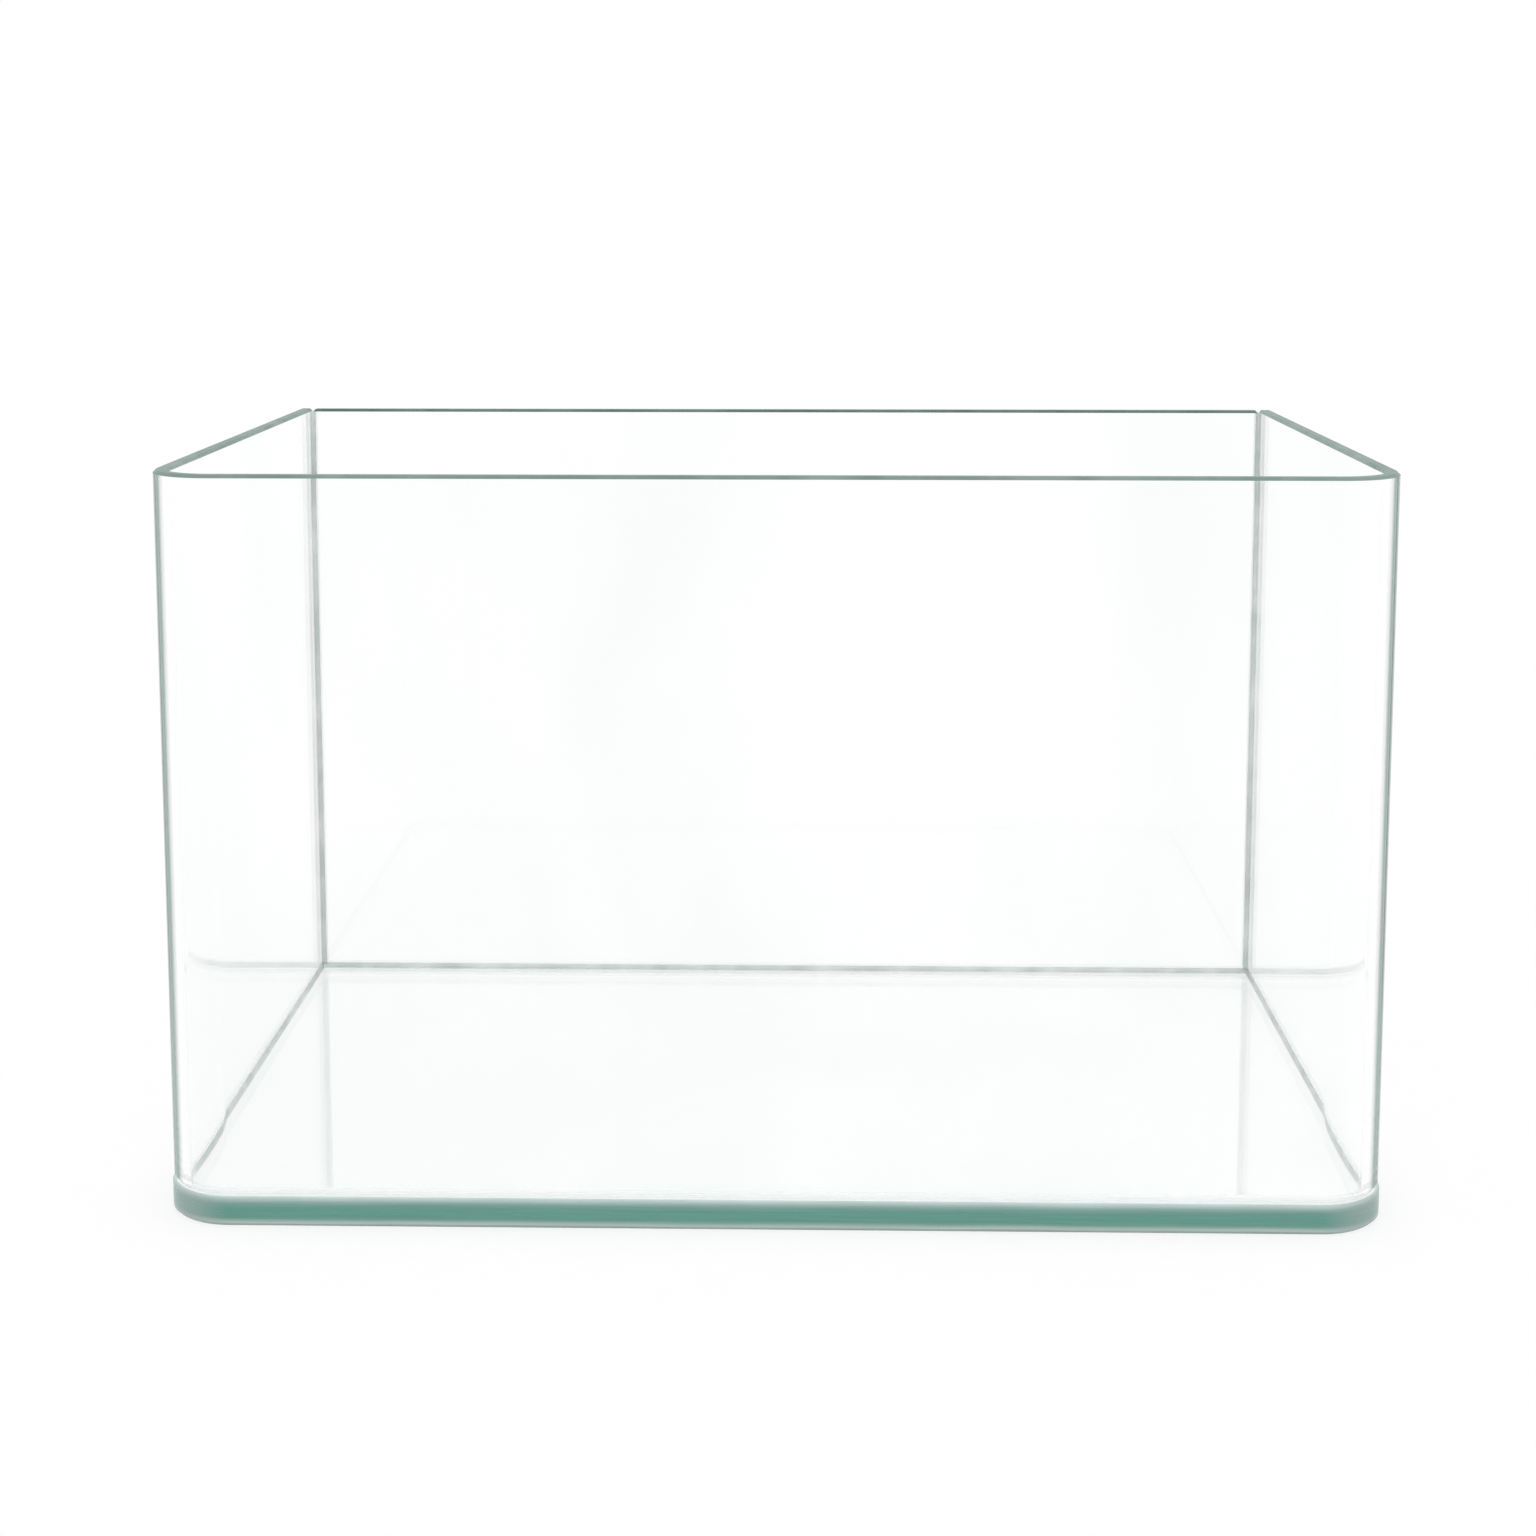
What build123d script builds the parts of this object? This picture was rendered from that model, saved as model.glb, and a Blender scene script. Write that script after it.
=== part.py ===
"""Rimless glass aquarium: a bent front-and-sides pane, a back pane and a thick base pane.

The panes are bonded with clear silicone. Sizes are in millimetres. X runs along the width, the bent
pane faces -Y, and the underside of the base lies at Z = 0, centred on the origin.
"""

import os

from build123d import *

# Footprint of the base pane
tank_width = 400.0
tank_depth = 250.0

# Glass
base_thickness = 10.0
wall_thickness = 5.0
wall_height = 235.0
bend_radius = 22.0  # outer face of the bent pane, at both front corners
base_margin = 0.5  # how far the base stands out past the walls, all round
base_rear_radius = 2.0  # the base's rear corners are only eased
base_arris = 1.0  # ground bevel along the base's edges
wall_arris = 1.0  # ground bevel along the walls' edges that stay dry

# Silicone
bed_height = 1.0  # layer between the base and the walls
joint_width = 1.0  # layer between the back pane's ends and the bent pane
bond_setback = 1.0  # layers stop this far inside the outer faces and the rim
bead_lap = 1.0  # how far a bead lies over the glass on each side of its seam
bead_dip = 0.2  # how far the tooled face of a bead is hollowed

# Places that follow from the sizes
wall_z = base_thickness + bed_height
rim_z = wall_z + wall_height
silicone_top = rim_z - bond_setback
outer_x = tank_width / 2 - base_margin
inner_x = outer_x - wall_thickness
front_y = base_margin - tank_depth / 2
rear_y = tank_depth / 2 - base_margin
back_face_y = rear_y - wall_thickness
silicone_rear_y = rear_y - bond_setback
back_pane_width = 2 * (inner_x - joint_width)


def bend_points(inset, end_y):
    """Corners of the bent pane's plan line, inset from its outer face, from rear left to rear right."""
    side_x = outer_x - inset
    bend_y = front_y + inset
    return (-side_x, end_y), (-side_x, bend_y), (side_x, bend_y), (side_x, end_y)


os.makedirs("parts", exist_ok=True)

# Base pane: flat float glass, with front corners concentric with the bends above
with BuildPart() as base_pane:
    with BuildSketch():
        Rectangle(tank_width, tank_depth)
        corners = vertices().group_by(Axis.Y)
        fillet(corners[0], radius=bend_radius + base_margin)
        fillet(corners[-1], radius=base_rear_radius)
    extrude(amount=base_thickness)
    chamfer(faces().filter_by(Axis.Z).edges(), length=base_arris)
base_pane.part.label = "base_pane"
export_step(base_pane.part, "parts/base_pane.step")

# Bent pane: one sheet that makes the front and both sides
with BuildPart() as bent_pane:
    with BuildSketch(Plane.XY.offset(wall_z)):
        with BuildLine():
            FilletPolyline(*bend_points(0, rear_y), radius=bend_radius)
            offset(amount=wall_thickness, side=Side.LEFT)
        make_face()
    extrude(amount=wall_height)
    rear_ends = edges().filter_by(Axis.Z).group_by(Axis.Y)[-1]
    rim = faces().sort_by(Axis.Z)[-1].edges()
    outer_foot = faces().sort_by(Axis.Y)[0].edges().sort_by(Axis.Z)[0]
    chamfer(rear_ends + rim + [outer_foot], length=wall_arris)
bent_pane.part.label = "bent_pane"
export_step(bent_pane.part, "parts/bent_pane.step")

# Back pane: flat sheet between the rear ends of the bent pane
with BuildPart() as back_pane:
    with BuildSketch(Plane.XY.offset(wall_z)):
        with Locations((0, back_face_y)):
            Rectangle(back_pane_width, wall_thickness, align=(Align.CENTER, Align.MIN))
    extrude(amount=wall_height)
    rim = faces().sort_by(Axis.Z)[-1].edges()
    rear_outline = faces().sort_by(Axis.Y)[-1].edges()
    chamfer(rim + rear_outline, length=wall_arris)
back_pane.part.label = "back_pane"
export_step(back_pane.part, "parts/back_pane.step")

# Silicone bed under the bent pane, trimmed back from its outer face
with BuildPart() as bent_pane_bed:
    with BuildSketch(Plane.XY.offset(base_thickness)):
        with BuildLine():
            FilletPolyline(*bend_points(bond_setback, silicone_rear_y), radius=bend_radius - bond_setback)
            offset(amount=wall_thickness - bond_setback, side=Side.LEFT)
        make_face()
    extrude(amount=bed_height)
bent_pane_bed.part.label = "bent_pane_bed"
export_step(bent_pane_bed.part, "parts/bent_pane_bed.step")

# Silicone bed under the back pane and under the two upright joints
with BuildPart() as back_pane_bed:
    with BuildSketch(Plane.XY.offset(base_thickness)):
        with Locations((0, back_face_y)):
            Rectangle(2 * inner_x, silicone_rear_y - back_face_y, align=(Align.CENTER, Align.MIN))
    extrude(amount=bed_height)
back_pane_bed.part.label = "back_pane_bed"
export_step(back_pane_bed.part, "parts/back_pane_bed.step")

# Inner bead along the floor, round the bent pane from one rear corner to the other
with BuildPart() as floor_bead_bent:
    with BuildLine(Plane.XY.offset(base_thickness)) as seam:
        FilletPolyline(*bend_points(wall_thickness, back_face_y), radius=bend_radius - wall_thickness)
    with BuildSketch(Plane(origin=seam.line @ 0, x_dir=(1, 0, 0), z_dir=seam.line % 0)):
        with BuildLine():
            Polyline((bead_lap, 0), (0, 0), (0, bed_height + bead_lap))
            SagittaArc((bead_lap, 0), (0, bed_height + bead_lap), bead_dip)
        make_face()
    sweep(path=seam.line)
floor_bead_bent.part.label = "floor_bead_bent"
export_step(floor_bead_bent.part, "parts/floor_bead_bent.step")

# Inner bead along the foot of the back pane, which butts against the bead round the bent pane
with BuildPart() as floor_bead_back:
    with BuildSketch(Plane.YZ.offset(-inner_x)):
        with BuildLine():
            foot = (back_face_y - bead_lap, base_thickness)
            top = (back_face_y, base_thickness + bed_height + bead_lap)
            Polyline(foot, (back_face_y, base_thickness), top)
            SagittaArc(foot, top, -bead_dip)
        make_face()
    extrude(amount=2 * inner_x)
    add(floor_bead_bent.part, mode=Mode.SUBTRACT)
floor_bead_back.part.label = "floor_bead_back"
export_step(floor_bead_back.part, "parts/floor_bead_back.step")

for corner, side in (("rear_left", -1), ("rear_right", 1)):
    # Upright joint between the back pane's end and the bent pane, standing on the bed
    with BuildPart() as joint:
        with BuildSketch(Plane.XY.offset(wall_z)):
            with Locations((side * (inner_x - joint_width / 2), back_face_y)):
                Rectangle(joint_width, silicone_rear_y - back_face_y, align=(Align.CENTER, Align.MIN))
        extrude(amount=silicone_top - wall_z)
    joint.part.label = f"{corner}_joint"
    export_step(joint.part, f"parts/{corner}_joint.step")

    # Upright inner bead that covers the joint, standing on the floor beads
    with BuildPart() as bead:
        with BuildSketch(Plane.XY.offset(base_thickness)):
            with BuildLine():
                on_back = (side * (inner_x - joint_width - bead_lap), back_face_y)
                on_side = (side * inner_x, back_face_y - bead_lap)
                Polyline(on_back, (side * inner_x, back_face_y), on_side)
                SagittaArc(on_back, on_side, side * bead_dip)
            make_face()
        extrude(amount=silicone_top - base_thickness)
        add(floor_bead_bent.part, mode=Mode.SUBTRACT)
        add(floor_bead_back.part, mode=Mode.SUBTRACT)
    bead.part.label = f"{corner}_bead"
    export_step(bead.part, f"parts/{corner}_bead.step")
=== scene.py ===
"""Looks of a rimless aquarium: three panes of float glass and the clear silicone that bonds them.

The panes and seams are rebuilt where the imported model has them, with finer bends, a finish of its own on
each kind of face, and seams that vary as hand-tooled silicone does. Sizes are in metres.
"""

import math
from collections import namedtuple

import bmesh
import bpy
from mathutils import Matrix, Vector, noise


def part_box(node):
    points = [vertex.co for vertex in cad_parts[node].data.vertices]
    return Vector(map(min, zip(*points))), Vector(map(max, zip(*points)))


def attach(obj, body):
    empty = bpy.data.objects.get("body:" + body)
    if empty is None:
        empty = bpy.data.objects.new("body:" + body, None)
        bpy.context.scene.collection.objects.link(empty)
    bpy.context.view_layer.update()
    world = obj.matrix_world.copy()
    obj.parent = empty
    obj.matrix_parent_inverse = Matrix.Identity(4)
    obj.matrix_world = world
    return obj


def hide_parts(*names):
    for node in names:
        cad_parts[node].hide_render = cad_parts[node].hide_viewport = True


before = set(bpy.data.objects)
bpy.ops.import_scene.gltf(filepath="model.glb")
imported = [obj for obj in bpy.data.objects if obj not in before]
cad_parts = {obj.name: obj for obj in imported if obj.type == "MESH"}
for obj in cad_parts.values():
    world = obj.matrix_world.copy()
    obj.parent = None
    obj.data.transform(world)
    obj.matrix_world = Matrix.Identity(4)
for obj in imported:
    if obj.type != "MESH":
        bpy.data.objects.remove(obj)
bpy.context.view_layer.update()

MM = 0.001
RIGHT = Vector((1, 0, 0))
BACK = Vector((0, 1, 0))
UP = Vector((0, 0, 1))

# Sizes read from the frame
base_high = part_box("base_pane")[1]
wall_low, wall_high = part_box("bent_pane")
back_low, back_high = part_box("back_pane")
joint_low, joint_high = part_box("rear_left_joint")
HALF_WIDTH = base_high.x
HALF_DEPTH = base_high.y
BASE_TOP = base_high.z
FOOT = wall_low.z
RIM = wall_high.z
OUTER_X = wall_high.x
FRONT_Y = wall_low.y
REAR_Y = wall_high.y
WALL = back_high.y - back_low.y
INNER_X = OUTER_X - WALL
BACK_FACE_Y = back_low.y
BACK_HALF_WIDTH = back_high.x
JOINT_WIDTH = joint_high.x - joint_low.x
SILICONE_TOP = joint_high.z
SILICONE_REAR_Y = joint_high.y
SETBACK = RIM - SILICONE_TOP
BEAD_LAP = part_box("floor_bead_bent")[1].z - FOOT
BEAD_RISE = FOOT - BASE_TOP + BEAD_LAP

# Sizes that the frame's boxes don't show, as in the solids
BEND_RADIUS = 22 * MM
BASE_REAR_RADIUS = 2 * MM
BASE_ARRIS = 1.0 * MM
WALL_ARRIS = 1.0 * MM
BEAD_DIP = 0.2 * MM

# Fineness of the meshes
BEND_SEGMENTS = 40
BEAD_SEGMENTS = 6
SEAM_STEP = 4 * MM
MERGE_DISTANCE = MM / 1000
SHARP = math.radians(25)
BOND_GAP = 0.02 * MM  # hairline between glass and silicone, so that no two faces coincide

# Unevenness of hand-tooled silicone
SWAY = 0.04  # share by which a bead's two legs vary
DIP_SWAY = 0.3  # share by which the hollow in a bead's face varies
TRIM_SWAY = 0.08  # share of the setback by which the trimmed silicone varies
SWAY_PATCH = 0.05  # length over which these drift
SEED_STEP = 40  # keeps the drifts within one bead apart

# Glass
GLASS_IOR = 1.52
SMEARED, CLEAR = (0.975, 0.985, 0.982), (0.998, 1.0, 0.999)
BASE_SMEARED, BASE_CLEAR = (0.968, 0.984, 0.979), (0.986, 0.996, 0.992)
OUTLINE = (0.068, 0.155, 0.127)  # of a bend seen edge on
OUTLINE_START, OUTLINE_FULL = 0.51, 0.34  # how squarely the bend is seen there, as a cosine
LEAST_LEVEL = 0.01  # keeps the outline defined where the view is straight down
EDGE_WITHIN = (0.92, 0.96, 0.95)  # of a cut edge seen from within the glass

# The base's edge, by share of its height: painted shade on the bottom arris where it faces the floor, a
# pale band above it painted as the floor's reflection, the glass's deep green in the middle, paler towards
# the top arris
BASE_EDGE_GREEN_AND_PAINTED_LIGHT_STOPS = (
    # painted shade: the bottom arris darkened where it faces the floor
    (0.0, (0.20, 0.26, 0.23)),
    (0.09, (0.27, 0.34, 0.31)),
    # painted reflection: a pale band above the bottom arris, standing in for the floor seen in the glass
    (0.13, (0.44, 0.54, 0.50)),
    (0.18, (0.38, 0.48, 0.45)),
    (0.28, (0.165, 0.325, 0.272)),
    (0.34, (0.12, 0.31, 0.255)),
    (0.64, (0.12, 0.31, 0.255)),
    (0.76, (0.175, 0.33, 0.29)),
    (0.86, (0.30, 0.43, 0.405)),
    (0.92, (0.44, 0.57, 0.54)),
    (1.0, (0.70, 0.80, 0.78)),
)
BASE_EDGE_STREAK = (0.86, 0.9, 0.88)
BASE_EDGE_SPECULAR = 0.3
BASE_CORNER = (0.315, 0.38, 0.37)
BASE_CORNER_WEIGHT = 1.3  # times the product of the normal's X and Y, which is a half at 45 degrees

# Silicone
SILICONE_IOR = 1.41
FRONT_SILICONE = (0.96, 0.975, 0.97)  # tooled cleanest along the front
FADE_START, FADE_END = 2 * WALL, 5 * WALL  # how far behind the front it turns cloudy

# Studio and camera
LIGHT_BOUNCES = 48
FLOOR_REACH = 3.0
FLOOR_DROP = 0.2 * MM  # keeps the floor clear of the base's underside
FLOOR_GREY = 0.25
FLOOR_GLOW = 0.75
SENSOR_WIDTH = 36
LENS = 58.16
LENS_SHIFT = -1 / 6
CAMERA_PLACE = (0.01468, -0.89342, 0.33244)
CAMERA_PITCH = math.radians(7.233)
CAMERA_TURN = math.radians(1.195)


class Paint:
    """A material under construction, with short ways to add nodes and join them."""

    def __init__(self, name):
        self.material = bpy.data.materials.new(name)
        self.material.use_nodes = True
        self.tree = self.material.node_tree
        self.tree.nodes.clear()
        self.output = self.node("OutputMaterial")
        self.coordinates = self.node("TexCoord").outputs["Object"]

    def node(self, kind, inputs=None, **settings):
        """Adds a shader node. Sockets among its inputs are linked, and the rest are set."""
        made = self.tree.nodes.new("ShaderNode" + kind)
        for key, value in settings.items():
            setattr(made, key, value)
        for key, value in (inputs or {}).items():
            if isinstance(value, bpy.types.NodeSocket):
                self.tree.links.new(value, made.inputs[key])
            else:
                made.inputs[key].default_value = value
        return made

    def cloud(self, scale, stretch=(1, 1, 1), detail=3.0, seed=0.0):
        """A soft noise between 0 and 1, with scale as its patches per metre."""
        place = {"Vector": self.coordinates, "Scale": stretch, "Location": (seed,) * 3}
        placed = self.node("Mapping", place).outputs[0]
        return self.node("TexNoise", {"Vector": placed, "Scale": scale, "Detail": detail}).outputs["Fac"]

    def ramp(self, factor, *stops):
        """A colour ramp through (position, colour) stops, given in order."""
        made = self.node("ValToRGB", {"Fac": factor})
        elements = made.color_ramp.elements
        for element, (position, colour) in zip(elements, (stops[0], stops[-1])):
            element.position = position
            element.color = (*colour, 1)
        for position, colour in stops[1:-1]:
            elements.new(position).color = (*colour, 1)
        return made.outputs["Color"]

    def math(self, operation, *values):
        """One arithmetic step on sockets or numbers."""
        return self.node("Math", dict(enumerate(values)), operation=operation).outputs[0]

    def mixed(self, factor, first, second, blend="MIX"):
        """Two colours mixed by a factor."""
        made = self.node("Mix", {0: factor}, data_type="RGBA", blend_type=blend)
        for socket, colour in ((made.inputs[6], first), (made.inputs[7], second)):
            if isinstance(colour, bpy.types.NodeSocket):
                self.tree.links.new(colour, socket)
            else:
                socket.default_value = (*colour, 1)
        return made.outputs[2]

    def between(self, factor, low, high):
        """A factor between 0 and 1 spread over another range."""
        return self.node("MapRange", {"Value": factor, "To Min": low, "To Max": high}).outputs["Result"]

    def smooth_step(self, value, start, end):
        """A factor that goes smoothly from 0 to 1 as the value goes from start to end."""
        reach = {"Value": value, "From Min": start, "From Max": end}
        return self.node("MapRange", reach, interpolation_type="SMOOTHSTEP").outputs["Result"]

    def facing_in_plan(self):
        """How squarely an upright face is seen, from 1 to 0, with the view's own slope taken out."""
        squarely = self.math("SUBTRACT", 1.0, self.node("LayerWeight", {"Blend": 0.5}).outputs["Facing"])
        upwards = self.node("CombineXYZ", {"Z": 1.0}).outputs[0]
        sideways = self.node("LayerWeight", {"Blend": 0.5, "Normal": upwards}).outputs["Facing"]
        slope = self.math("SUBTRACT", 1.0, sideways)
        level = self.math("SQRT", self.math("SUBTRACT", 1.0, self.math("MULTIPLY", slope, slope)))
        return self.math("DIVIDE", squarely, self.math("MAXIMUM", level, LEAST_LEVEL))

    def clear_body(self, tint, ior, roughness):
        """A clear surface that bends the light passing through it."""
        body = {"Base Color": tint, "Transmission Weight": 1.0, "IOR": ior, "Roughness": roughness}
        return self.node("BsdfPrincipled", body).outputs[0]

    def cut_edge(self, colour, roughness, specular):
        """A cut edge of a pane: it shows its colour from outside, and lets light out from within."""
        within = self.node("NewGeometry").outputs["Backfacing"]
        edge = {
            "Base Color": self.mixed(within, colour, EDGE_WITHIN),
            "Transmission Weight": within,
            "IOR": GLASS_IOR,
            "Roughness": roughness,
            "Specular IOR Level": specular,
        }
        return self.node("BsdfPrincipled", edge).outputs[0]

    def finish(self, surface):
        """Joins the surface to the output and hands over the material."""
        self.tree.links.new(surface, self.output.inputs["Surface"])
        return self.material


def glass(name, smeared, clear, outline=None):
    """Float glass: it bends what is seen through it and carries faint smears.

    Where a bend is seen edge on, the long way through the glass shows as a line of its outline colour.
    """
    paint = Paint(name)
    smears = paint.cloud(9, (1, 1, 0.5), detail=5.0)
    tint = paint.ramp(smears, (0.40, smeared), (0.56, clear))
    if outline:
        edge_on = paint.smooth_step(paint.facing_in_plan(), OUTLINE_START, OUTLINE_FULL)
        tint = paint.mixed(edge_on, tint, outline)
    roughness = paint.between(paint.cloud(60, seed=3), 0.0, 0.02)
    return paint.finish(paint.clear_body(tint, GLASS_IOR, roughness))


def wall_edge(name, dark, light, roughness, specular):
    """A cut edge of a wall, where the glass gathers its own green, with marks along its length."""
    paint = Paint(name)
    marks = paint.ramp(paint.cloud(60, (1, 1, 0.3), detail=4.0), (0.35, dark), (0.65, light))
    uneven = paint.between(paint.cloud(300, seed=5), *roughness)
    return paint.finish(paint.cut_edge(marks, uneven, specular))


def ground_glass(name, dark, light):
    """A ground edge that still lets light through, scattered."""
    paint = Paint(name)
    tint = paint.ramp(paint.cloud(150), (0.3, dark), (0.7, light))
    roughness = paint.between(paint.cloud(400, seed=5), 0.45, 0.65)
    return paint.finish(paint.clear_body(tint, GLASS_IOR, roughness))


def base_edge(name):
    """The base's edge: the glass's deep green in level streaks, painted shade along its bottom arris, a
    pale band above it painted as the floor's reflection, paler towards the top arris, grey corners.
    """
    paint = Paint(name)
    drift = paint.between(paint.cloud(30, seed=7), -0.03, 0.03)
    height = paint.node("SeparateXYZ", {0: paint.coordinates}).outputs["Z"]
    share = paint.math("ADD", paint.math("DIVIDE", height, BASE_TOP), drift)
    # the height ramp gives the glass's green together with painted shade on the bottom arris and a painted
    # floor reflection just above it
    depth = paint.ramp(share, *BASE_EDGE_GREEN_AND_PAINTED_LIGHT_STOPS)
    layers = paint.cloud(30, (1, 1, 40), detail=4.0)
    streaks = paint.ramp(layers, (0.3, BASE_EDGE_STREAK), (0.7, (1, 1, 1)))
    green = paint.mixed(1.0, depth, streaks, "MULTIPLY")
    normal = paint.node("SeparateXYZ", {0: paint.node("TexCoord").outputs["Normal"]}).outputs
    corner = paint.math("ABSOLUTE", paint.math("MULTIPLY", normal["X"], normal["Y"]))
    turning = paint.math("MULTIPLY", corner, BASE_CORNER_WEIGHT)
    colour = paint.mixed(turning, green, BASE_CORNER)
    uneven = paint.between(paint.cloud(200, (1, 1, 20), seed=5), 0.15, 0.35)
    return paint.finish(paint.cut_edge(colour, uneven, BASE_EDGE_SPECULAR))


def silicone(name, cloudy, clear):
    """Cured clear silicone under a satin skin, unevenly cloudy away from the front."""
    paint = Paint(name)
    uneven = paint.ramp(paint.cloud(90, detail=4.0), (0.35, cloudy), (0.65, clear))
    y = paint.node("SeparateXYZ", {0: paint.coordinates}).outputs["Y"]
    behind_front = paint.smooth_step(y, FRONT_Y + FADE_START, FRONT_Y + FADE_END)
    tint = paint.mixed(behind_front, FRONT_SILICONE, uneven)
    roughness = paint.between(paint.cloud(300), 0.25, 0.5)
    return paint.finish(paint.clear_body(tint, SILICONE_IOR, roughness))


WALL_FACE = glass("wall_face", SMEARED, CLEAR)
BEND_FACE = glass("wall_bend", SMEARED, CLEAR, OUTLINE)
WALL_EDGE = wall_edge("wall_edge", (0.17, 0.25, 0.22), (0.23, 0.32, 0.29), (0.2, 0.4), 0.03)
GROUND = ground_glass("wall_ground", (0.86, 0.90, 0.88), (0.94, 0.97, 0.95))
ARRIS = wall_edge("wall_arris", (0.20, 0.28, 0.25), (0.27, 0.36, 0.33), (0.3, 0.5), 0.1)
BACK_ARRIS = wall_edge("back_arris", (0.11, 0.165, 0.148), (0.16, 0.225, 0.205), (0.3, 0.5), 0.1)
BASE_FACE = glass("base_face", BASE_SMEARED, BASE_CLEAR)
BASE_EDGE = base_edge("base_edge")
BEAD = silicone("bead_silicone", (0.56, 0.61, 0.59), (0.74, 0.78, 0.77))
BOND = silicone("bond_silicone", (0.88, 0.91, 0.90), (0.97, 0.98, 0.975))

# A place on the line along which a section is swept, with the two ways in which the section lies there
Station = namedtuple("Station", "origin across up curved")


def at(station, corner):
    """The point where a section's corner falls at one station of its line."""
    return station.origin + station.across * corner[0] + station.up * corner[1]


def plan_line(corners, radii, step=None, closed=False):
    """Stations along a line in plan that turns left at its corners, each with its normal to the left."""
    corners = [Vector((x, y, 0)) for x, y in corners]
    count = len(corners)
    stations = []
    for i, (corner, radius) in enumerate(zip(corners, radii)):
        ahead = (corners[(i + 1) % count] - corner).normalized()
        behind = (corner - corners[i - 1]).normalized()
        if not closed and i in (0, count - 1):
            way = ahead if i == 0 else behind
            stations.append(Station(corner, UP.cross(way), UP, False))
            continue
        normal_in, normal_out = UP.cross(behind), UP.cross(ahead)
        centre = corner + (normal_in + normal_out) * radius
        for k in range(BEND_SEGMENTS + 1):
            turn = math.pi / 2 * k / BEND_SEGMENTS
            normal = normal_in * math.cos(turn) + normal_out * math.sin(turn)
            stations.append(Station(centre - normal * radius, normal, UP, k < BEND_SEGMENTS))
    return stations if step is None else with_steps(stations, step)


def with_steps(stations, step):
    """The same line with more stations along its straight stretches, at most step apart."""
    finer = []
    for here, there in zip(stations, stations[1:]):
        finer.append(here)
        if here.curved:
            continue
        gap = there.origin - here.origin
        count = math.ceil(gap.length / step)
        for k in range(1, count):
            finer.append(here._replace(origin=here.origin + gap * k / count))
    return finer + stations[-1:]


def skin(name, rows, slot_at, materials, close_rows=True, close_line=False):
    """A mesh piece whose faces join each row of points to the next one.

    slot_at(row, place) gives the material slot of the face after that row and place. The open sides of
    the grid are closed with one face each: its ends if the rows go round, or its first and last row if
    the line does.
    """
    mesh = bmesh.new()
    grid = [[mesh.verts.new(point) for point in row] for row in rows]
    row_count, length = len(grid), len(grid[0])
    for r in range(row_count if close_rows else row_count - 1):
        for p in range(length if close_line else length - 1):
            lower, upper = grid[r], grid[(r + 1) % row_count]
            q = (p + 1) % length
            mesh.faces.new((lower[p], lower[q], upper[q], upper[p])).material_index = slot_at(r, p)
    if close_rows and not close_line:
        for p in (0, length - 1):
            mesh.faces.new([row[p] for row in grid]).material_index = slot_at(None, p)
    if close_line and not close_rows:
        for row in (0, row_count - 1):
            mesh.faces.new(grid[row]).material_index = slot_at(row, None)
    bmesh.ops.remove_doubles(mesh, verts=mesh.verts, dist=MERGE_DISTANCE)
    bmesh.ops.recalc_face_normals(mesh, faces=mesh.faces)
    data = bpy.data.meshes.new(name)
    mesh.to_mesh(data)
    mesh.free()
    for material in materials:
        data.materials.append(material)
    data.shade_smooth()
    data.set_sharp_from_angle(angle=SHARP)
    piece = bpy.data.objects.new(name, data)
    bpy.context.scene.collection.objects.link(piece)
    return piece


def stand_for(piece, node):
    """Puts a piece in its node's place on the body and hides the node's imported part."""
    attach(piece, "root")
    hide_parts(node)
    return piece


# Panes

# Strips of a wall's skin, each between the section's corner of that number and the next
FOOT_ARRIS, OUTER_FACE, OUTER_RIM_ARRIS, RIM_EDGE, INNER_RIM_ARRIS = range(5)


def wall_section(outer_inset, inner_inset, top_inset):
    """Corners of a wall's upright section, as depth into the glass and height, from the outer foot up."""
    depth = WALL - inner_inset
    return [
        (max(outer_inset, WALL_ARRIS), FOOT),
        (outer_inset, FOOT + WALL_ARRIS),
        (outer_inset, RIM - WALL_ARRIS),
        (max(outer_inset, WALL_ARRIS), RIM - top_inset),
        (min(depth, WALL - WALL_ARRIS), RIM - top_inset),
        (depth, RIM - WALL_ARRIS),
        (depth, FOOT),
    ]


def wall_pane(name, node, line, bare_ends, arris_material):
    """A wall pane swept along its plan line, with arrises round its outer foot, its rim and its ends.

    Bare ends have an arris on both sides and are green, like the rim. Bonded ends have one on the outer
    side alone, ground and pale.
    """
    ends = []
    for end, neighbour in ((line[0], line[1]), (line[-1], line[-2])):
        inwards = (neighbour.origin - end.origin).normalized() * WALL_ARRIS
        ends.append((end, end._replace(origin=end.origin + inwards)))
    stations = [ends[0][0], ends[0][1], *line[1:-1], ends[1][1], ends[1][0]]
    full = wall_section(0, 0, 0)
    cut = wall_section(WALL_ARRIS, WALL_ARRIS if bare_ends else 0, WALL_ARRIS)
    sections = [cut] + [full] * (len(stations) - 2) + [cut]
    rows = [[at(s, section[r]) for s, section in zip(stations, sections)] for r in range(len(full))]
    face, bend, edge, arris, ground = range(5)

    def slot_at(row, place):
        if row is None:
            return edge if bare_ends else face
        if row == RIM_EDGE:
            return edge
        if row == FOOT_ARRIS:
            return ground
        if row in (OUTER_RIM_ARRIS, INNER_RIM_ARRIS):
            return arris
        if place in (0, len(stations) - 2):
            return arris if bare_ends else ground
        return bend if row == OUTER_FACE and stations[place].curved else face

    materials = [WALL_FACE, BEND_FACE, WALL_EDGE, arris_material, GROUND]
    return stand_for(skin(name, rows, slot_at, materials), node)


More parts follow.
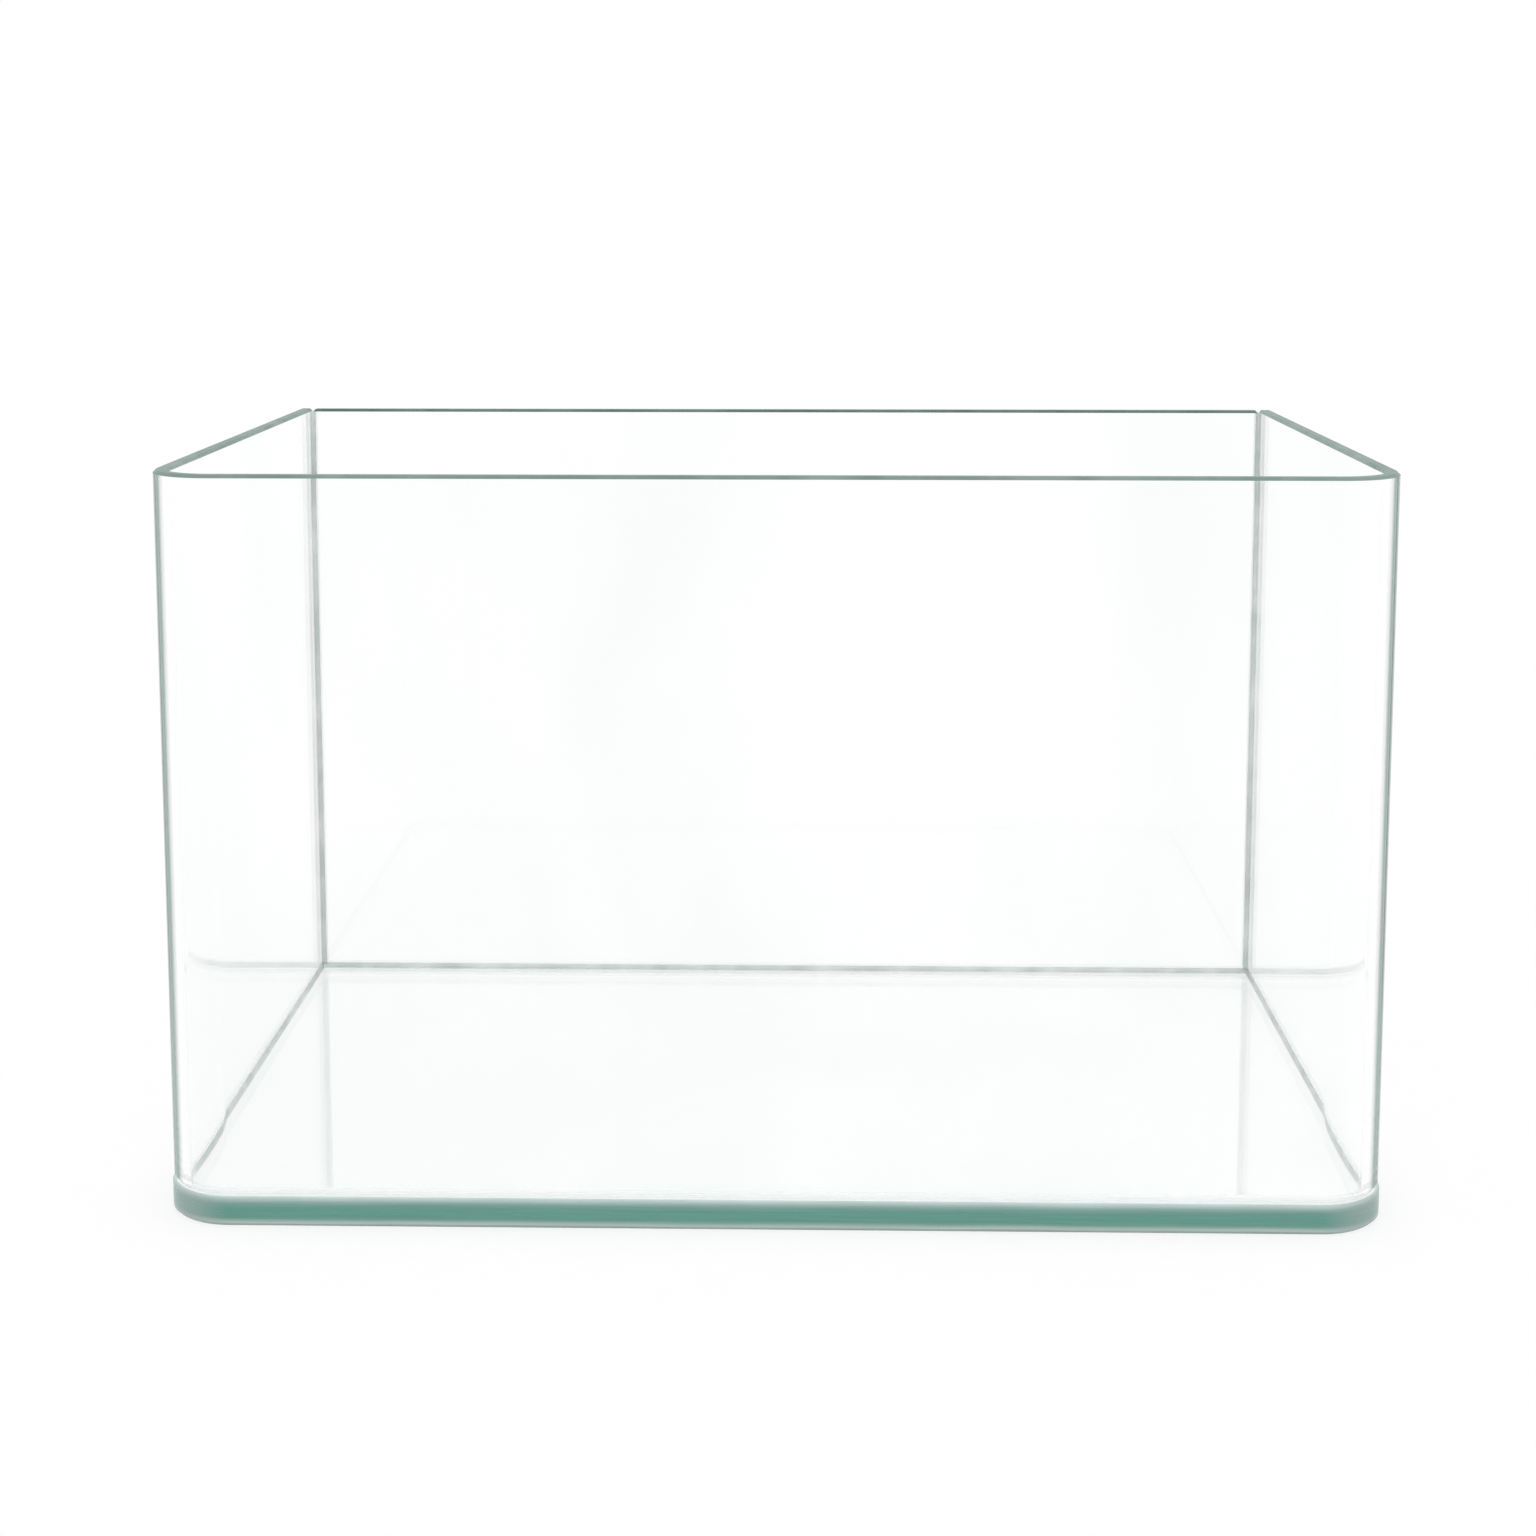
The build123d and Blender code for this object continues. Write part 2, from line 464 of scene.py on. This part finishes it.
def base_plate():
    """The thick base, with its rounded front corners, eased rear ones and an arris above and below."""
    outline = [
        (-HALF_WIDTH, HALF_DEPTH),
        (-HALF_WIDTH, -HALF_DEPTH),
        (HALF_WIDTH, -HALF_DEPTH),
        (HALF_WIDTH, HALF_DEPTH),
    ]
    front_radius = BEND_RADIUS + HALF_WIDTH - OUTER_X
    radii = [BASE_REAR_RADIUS, front_radius, front_radius, BASE_REAR_RADIUS]
    line = plan_line(outline, radii, closed=True)
    section = [(BASE_ARRIS, 0), (0, BASE_ARRIS), (0, BASE_TOP - BASE_ARRIS), (BASE_ARRIS, BASE_TOP)]
    rows = [[at(s, corner) for s in line] for corner in section]
    face, edge = range(2)

    def slot_at(row, place):
        return face if place is None else edge

    piece = skin("base_glass", rows, slot_at, [BASE_FACE, BASE_EDGE], close_rows=False, close_line=True)
    return stand_for(piece, "base_pane")


def bent_line(inset, end_y, step=None):
    """The bent pane's plan line, inset from its outer face, from rear left to rear right."""
    side, front = OUTER_X - inset, FRONT_Y + inset
    corners = [(-side, end_y), (-side, front), (side, front), (side, end_y)]
    radius = BEND_RADIUS - inset
    return plan_line(corners, [0, radius, radius, 0], step)


def back_line(half_width, y, step=None):
    """A straight plan line along the back, from right to left."""
    return plan_line([(half_width, y), (-half_width, y)], [0, 0], step)


wall_pane("bent_glass", "bent_pane", bent_line(0, REAR_Y), True, ARRIS)
wall_pane("back_glass", "back_pane", back_line(BACK_HALF_WIDTH, REAR_Y), False, BACK_ARRIS)
base_plate()

# Silicone


def wobble(point, seed):
    """A smooth number between about -1 and 1 that drifts from place to place."""
    return noise.noise(point / SWAY_PATCH + Vector((seed, 0, 0)))


def seam(name, node, stations, section_at, material, sunk=None):
    """A silicone piece swept along stations, with the section that section_at(place) gives for each.

    sunk(corner) tells how much lower than its station a corner of the first section lies.
    """
    sections = [section_at(s.origin) for s in stations]
    count = len(sections[0])
    rows = [[at(s, section[r]) for s, section in zip(stations, sections)] for r in range(count)]
    if sunk:
        for row, corner in zip(rows, sections[0]):
            row[0] -= UP * sunk(corner)
    return stand_for(skin(name, rows, lambda row, place: 0, [material]), node)


def bed_sections(seed):
    """Sections of a bed under a wall, trimmed a little unevenly along the outer face."""
    low, high = BASE_TOP + BOND_GAP, FOOT - BOND_GAP

    def section_at(origin):
        trim = SETBACK * (1 + TRIM_SWAY * wobble(origin, seed))
        return [(trim, low), (trim, high), (WALL, high), (WALL, low)]

    return section_at


def joint_sections(seed):
    """Sections of an upright joint, trimmed a little unevenly at the rear."""
    near, far = BOND_GAP, JOINT_WIDTH - BOND_GAP

    def section_at(origin):
        reach = SILICONE_REAR_Y - BACK_FACE_Y + TRIM_SWAY * SETBACK * wobble(origin, seed)
        return [(near, 0), (far, 0), (far, reach), (near, reach)]

    return section_at


def bead_sections(first_leg, second_leg, seed):
    """Sections of a tooled bead: a right angle in the seam, closed by a hollow face between its legs."""

    def section_at(origin):
        first = first_leg * (1 + SWAY * wobble(origin, seed))
        second = second_leg * (1 + SWAY * wobble(origin, seed + SEED_STEP))
        dip = BEAD_DIP * (1 + DIP_SWAY * wobble(origin, seed + 2 * SEED_STEP))
        face = []
        for k in range(BEAD_SEGMENTS + 1):
            t = k / BEAD_SEGMENTS
            sag = 4 * dip * t * (1 - t) * math.sqrt(0.5)
            face.append((max(first * (1 - t) - sag, BOND_GAP), max(second * t - sag, BOND_GAP)))
        return [(BOND_GAP, BOND_GAP)] + face

    return section_at


def floor_seam(line, way_in, way_out):
    """A plan line laid on the base, with both ends cut at 45 degrees, leaning the given ways."""
    stations = [s._replace(origin=s.origin + UP * BASE_TOP) for s in line]
    first = stations[0]._replace(across=stations[0].across + way_in)
    last = stations[-1]._replace(across=stations[-1].across + way_out)
    return [first, *stations[1:-1], last]


def rear_corner(side, low, towards):
    """Stations up the inside of a rear corner, whose sections lie inwards and towards the given way."""
    count = math.ceil((SILICONE_TOP - low) / SEAM_STEP)
    heights = [low + (SILICONE_TOP - low) * k / count for k in range(count + 1)]
    places = [Vector((side * INNER_X, BACK_FACE_Y, z)) for z in heights]
    return [Station(place, RIGHT * -side, towards, False) for place in places]


def into_slopes(corner):
    """How far down an upright bead reaches into the corner between the slopes of the floor beads."""
    return BEAD_RISE * min(corner) / BEAD_LAP


bent_bed = bent_line(0, SILICONE_REAR_Y, SEAM_STEP)
seam("bent_bed_silicone", "bent_pane_bed", bent_bed, bed_sections(1.0), BOND)
back_bed = back_line(INNER_X - BOND_GAP, REAR_Y, SEAM_STEP)
seam("back_bed_silicone", "back_pane_bed", back_bed, bed_sections(7.0), BOND)

bent_seam = floor_seam(bent_line(WALL, BACK_FACE_Y, SEAM_STEP), -BACK, -BACK)
bent_bead = bead_sections(BEAD_LAP, BEAD_RISE, 2.0)
seam("floor_bead_bent_silicone", "floor_bead_bent", bent_seam, bent_bead, BEAD)
back_seam = floor_seam(back_line(INNER_X, BACK_FACE_Y, SEAM_STEP), -RIGHT, RIGHT)
back_bead = bead_sections(BEAD_LAP, BEAD_RISE, 3.0)
seam("floor_bead_back_silicone", "floor_bead_back", back_seam, back_bead, BEAD)

bead_foot = BASE_TOP + BEAD_RISE * (1 + SWAY) + BOND_GAP
for corner, side in (("rear_left", -1), ("rear_right", 1)):
    joint_line = rear_corner(side, FOOT, BACK)
    seam(f"{corner}_joint_silicone", f"{corner}_joint", joint_line, joint_sections(11.0 * side), BOND)
    bead_line = rear_corner(side, bead_foot, -BACK)
    upright_bead = bead_sections(JOINT_WIDTH + BEAD_LAP, BEAD_LAP, 5.0 * side)
    seam(f"{corner}_bead_silicone", f"{corner}_bead", bead_line, upright_bead, BEAD, into_slopes)

# Studio
scene = bpy.context.scene
scene.view_settings.view_transform = "Standard"
scene.cycles.blur_glossy = 0
scene.cycles.max_bounces = LIGHT_BOUNCES
scene.cycles.transmission_bounces = LIGHT_BOUNCES
scene.cycles.glossy_bounces = LIGHT_BOUNCES

world = bpy.data.worlds.new("studio")
scene.world = world
world.use_nodes = True
sky = world.node_tree.nodes["Background"].inputs
sky["Color"].default_value = (1, 1, 1, 1)
sky["Strength"].default_value = 1.0

floor_mesh = bpy.data.meshes.new("studio_floor")
r = FLOOR_REACH
floor_mesh.from_pydata([(-r, -r, 0), (r, -r, 0), (r, r, 0), (-r, r, 0)], [], [(0, 1, 2, 3)])
studio_floor = bpy.data.objects.new("studio_floor", floor_mesh)
studio_floor.location.z = -FLOOR_DROP
scene.collection.objects.link(studio_floor)
floor_paint = Paint("studio_floor")
pale = floor_paint.node(
    "BsdfPrincipled",
    {
        "Base Color": (FLOOR_GREY, FLOOR_GREY, FLOOR_GREY, 1),
        "Roughness": 0.9,
        "Specular IOR Level": 0.0,
        "Emission Color": (1, 1, 1, 1),
        "Emission Strength": FLOOR_GLOW,
    },
)
floor_mesh.materials.append(floor_paint.finish(pale.outputs[0]))

# Camera at the photograph's viewing angle
camera_data = bpy.data.cameras.new("camera")
camera_data.sensor_width = SENSOR_WIDTH
camera_data.lens = LENS
camera_data.shift_y = LENS_SHIFT
camera = bpy.data.objects.new("camera", camera_data)
scene.collection.objects.link(camera)
camera.location = CAMERA_PLACE
camera.rotation_euler = (math.pi / 2 - CAMERA_PITCH, 0, CAMERA_TURN)
scene.camera = camera
